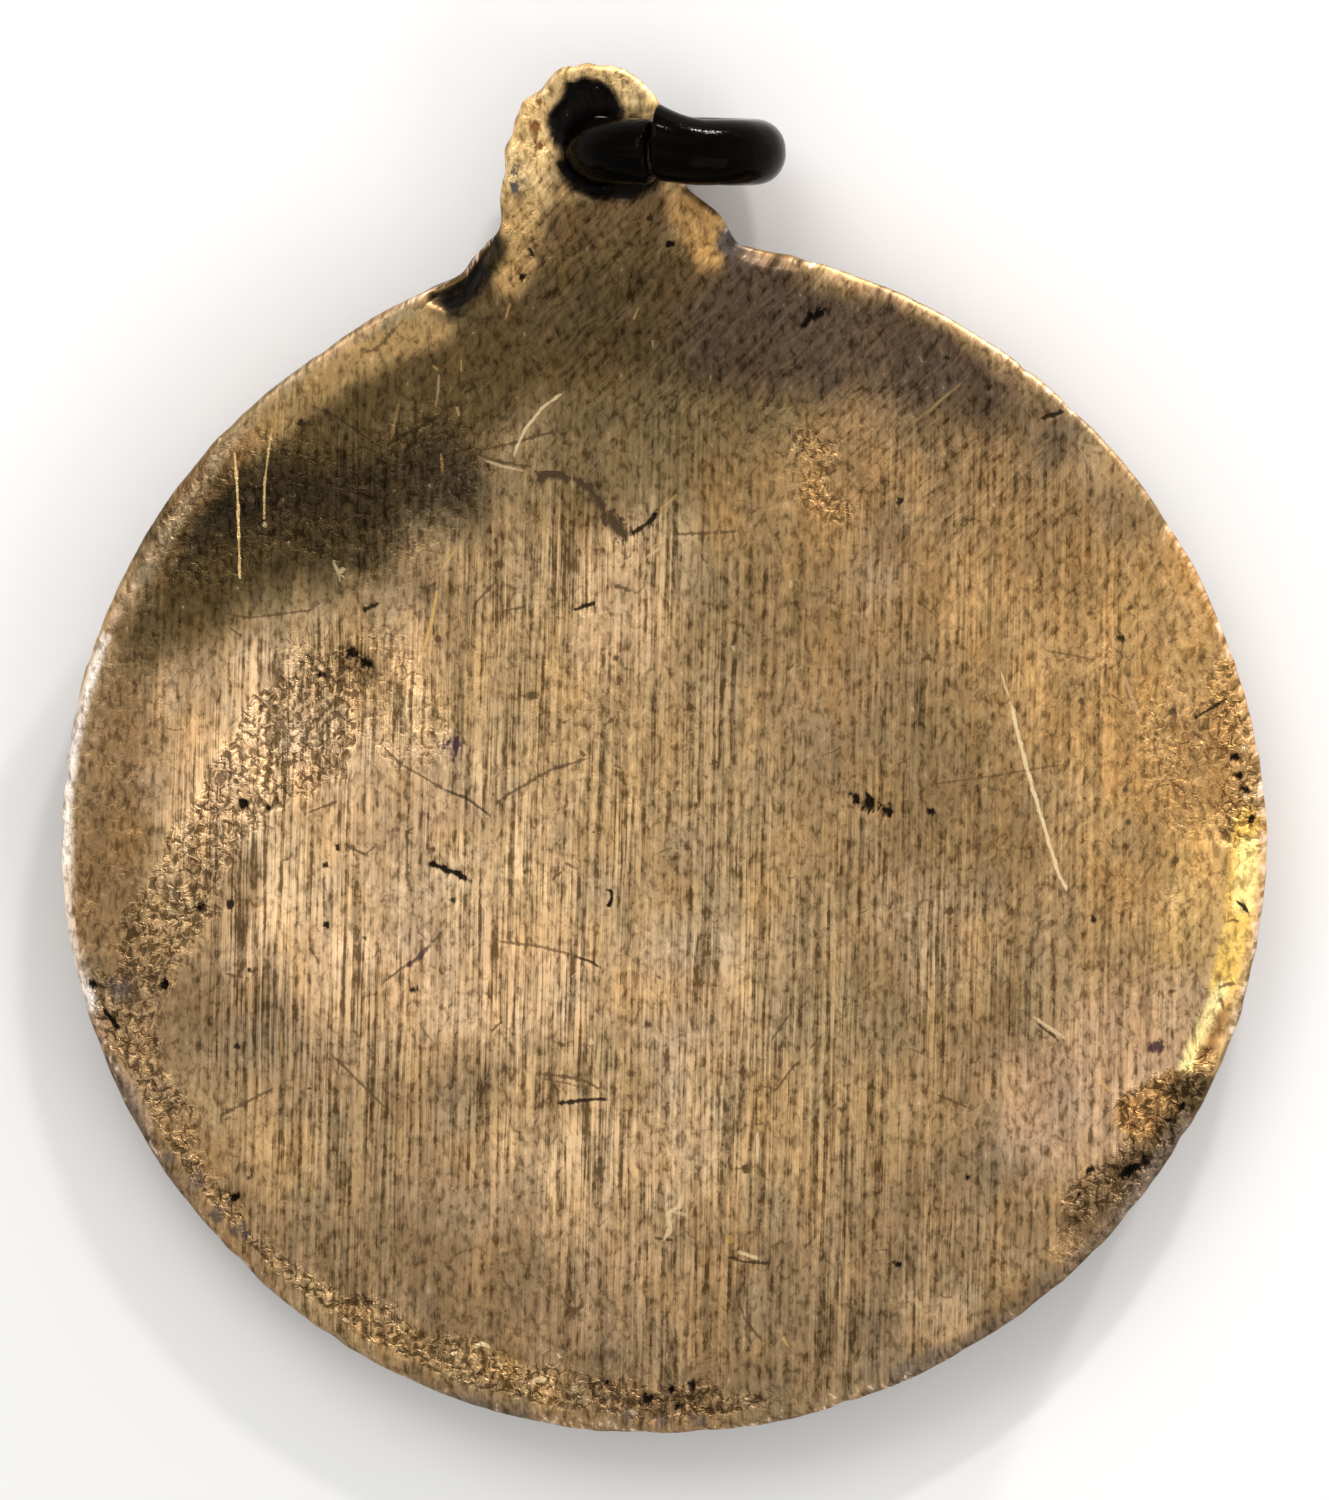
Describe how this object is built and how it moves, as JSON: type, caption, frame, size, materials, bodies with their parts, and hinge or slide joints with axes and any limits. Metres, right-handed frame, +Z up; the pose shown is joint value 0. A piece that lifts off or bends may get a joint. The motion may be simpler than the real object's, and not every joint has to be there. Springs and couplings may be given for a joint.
{
  "type": "commemorative medal",
  "caption": "Round brass medal with a plain brushed back, a flat eyed lug at its top and a thick dark split jump ring through the lug, lying back up.",
  "frame": {"origin": "middle of the bounding box in plan, on the surface that the medal lies on", "axes": "+Z up, towards the medal's back face; +Y from the disc towards the lug's tip; the jump ring lies out towards +X"},
  "size_m": [0.03, 0.0345, 0.0056],
  "materials": {
    "aged_brass": "coarsely brushed, tarnished olive brown in patches, pitted and worn bright along parts of the edge",
    "black_bronze": "nearly black patina, glossy, rubbed brown along its edges"
  },
  "bodies": {
    "root": {"medal": "aged_brass", "jump_ring": "black_bronze"}
  },
  "joints": []
}
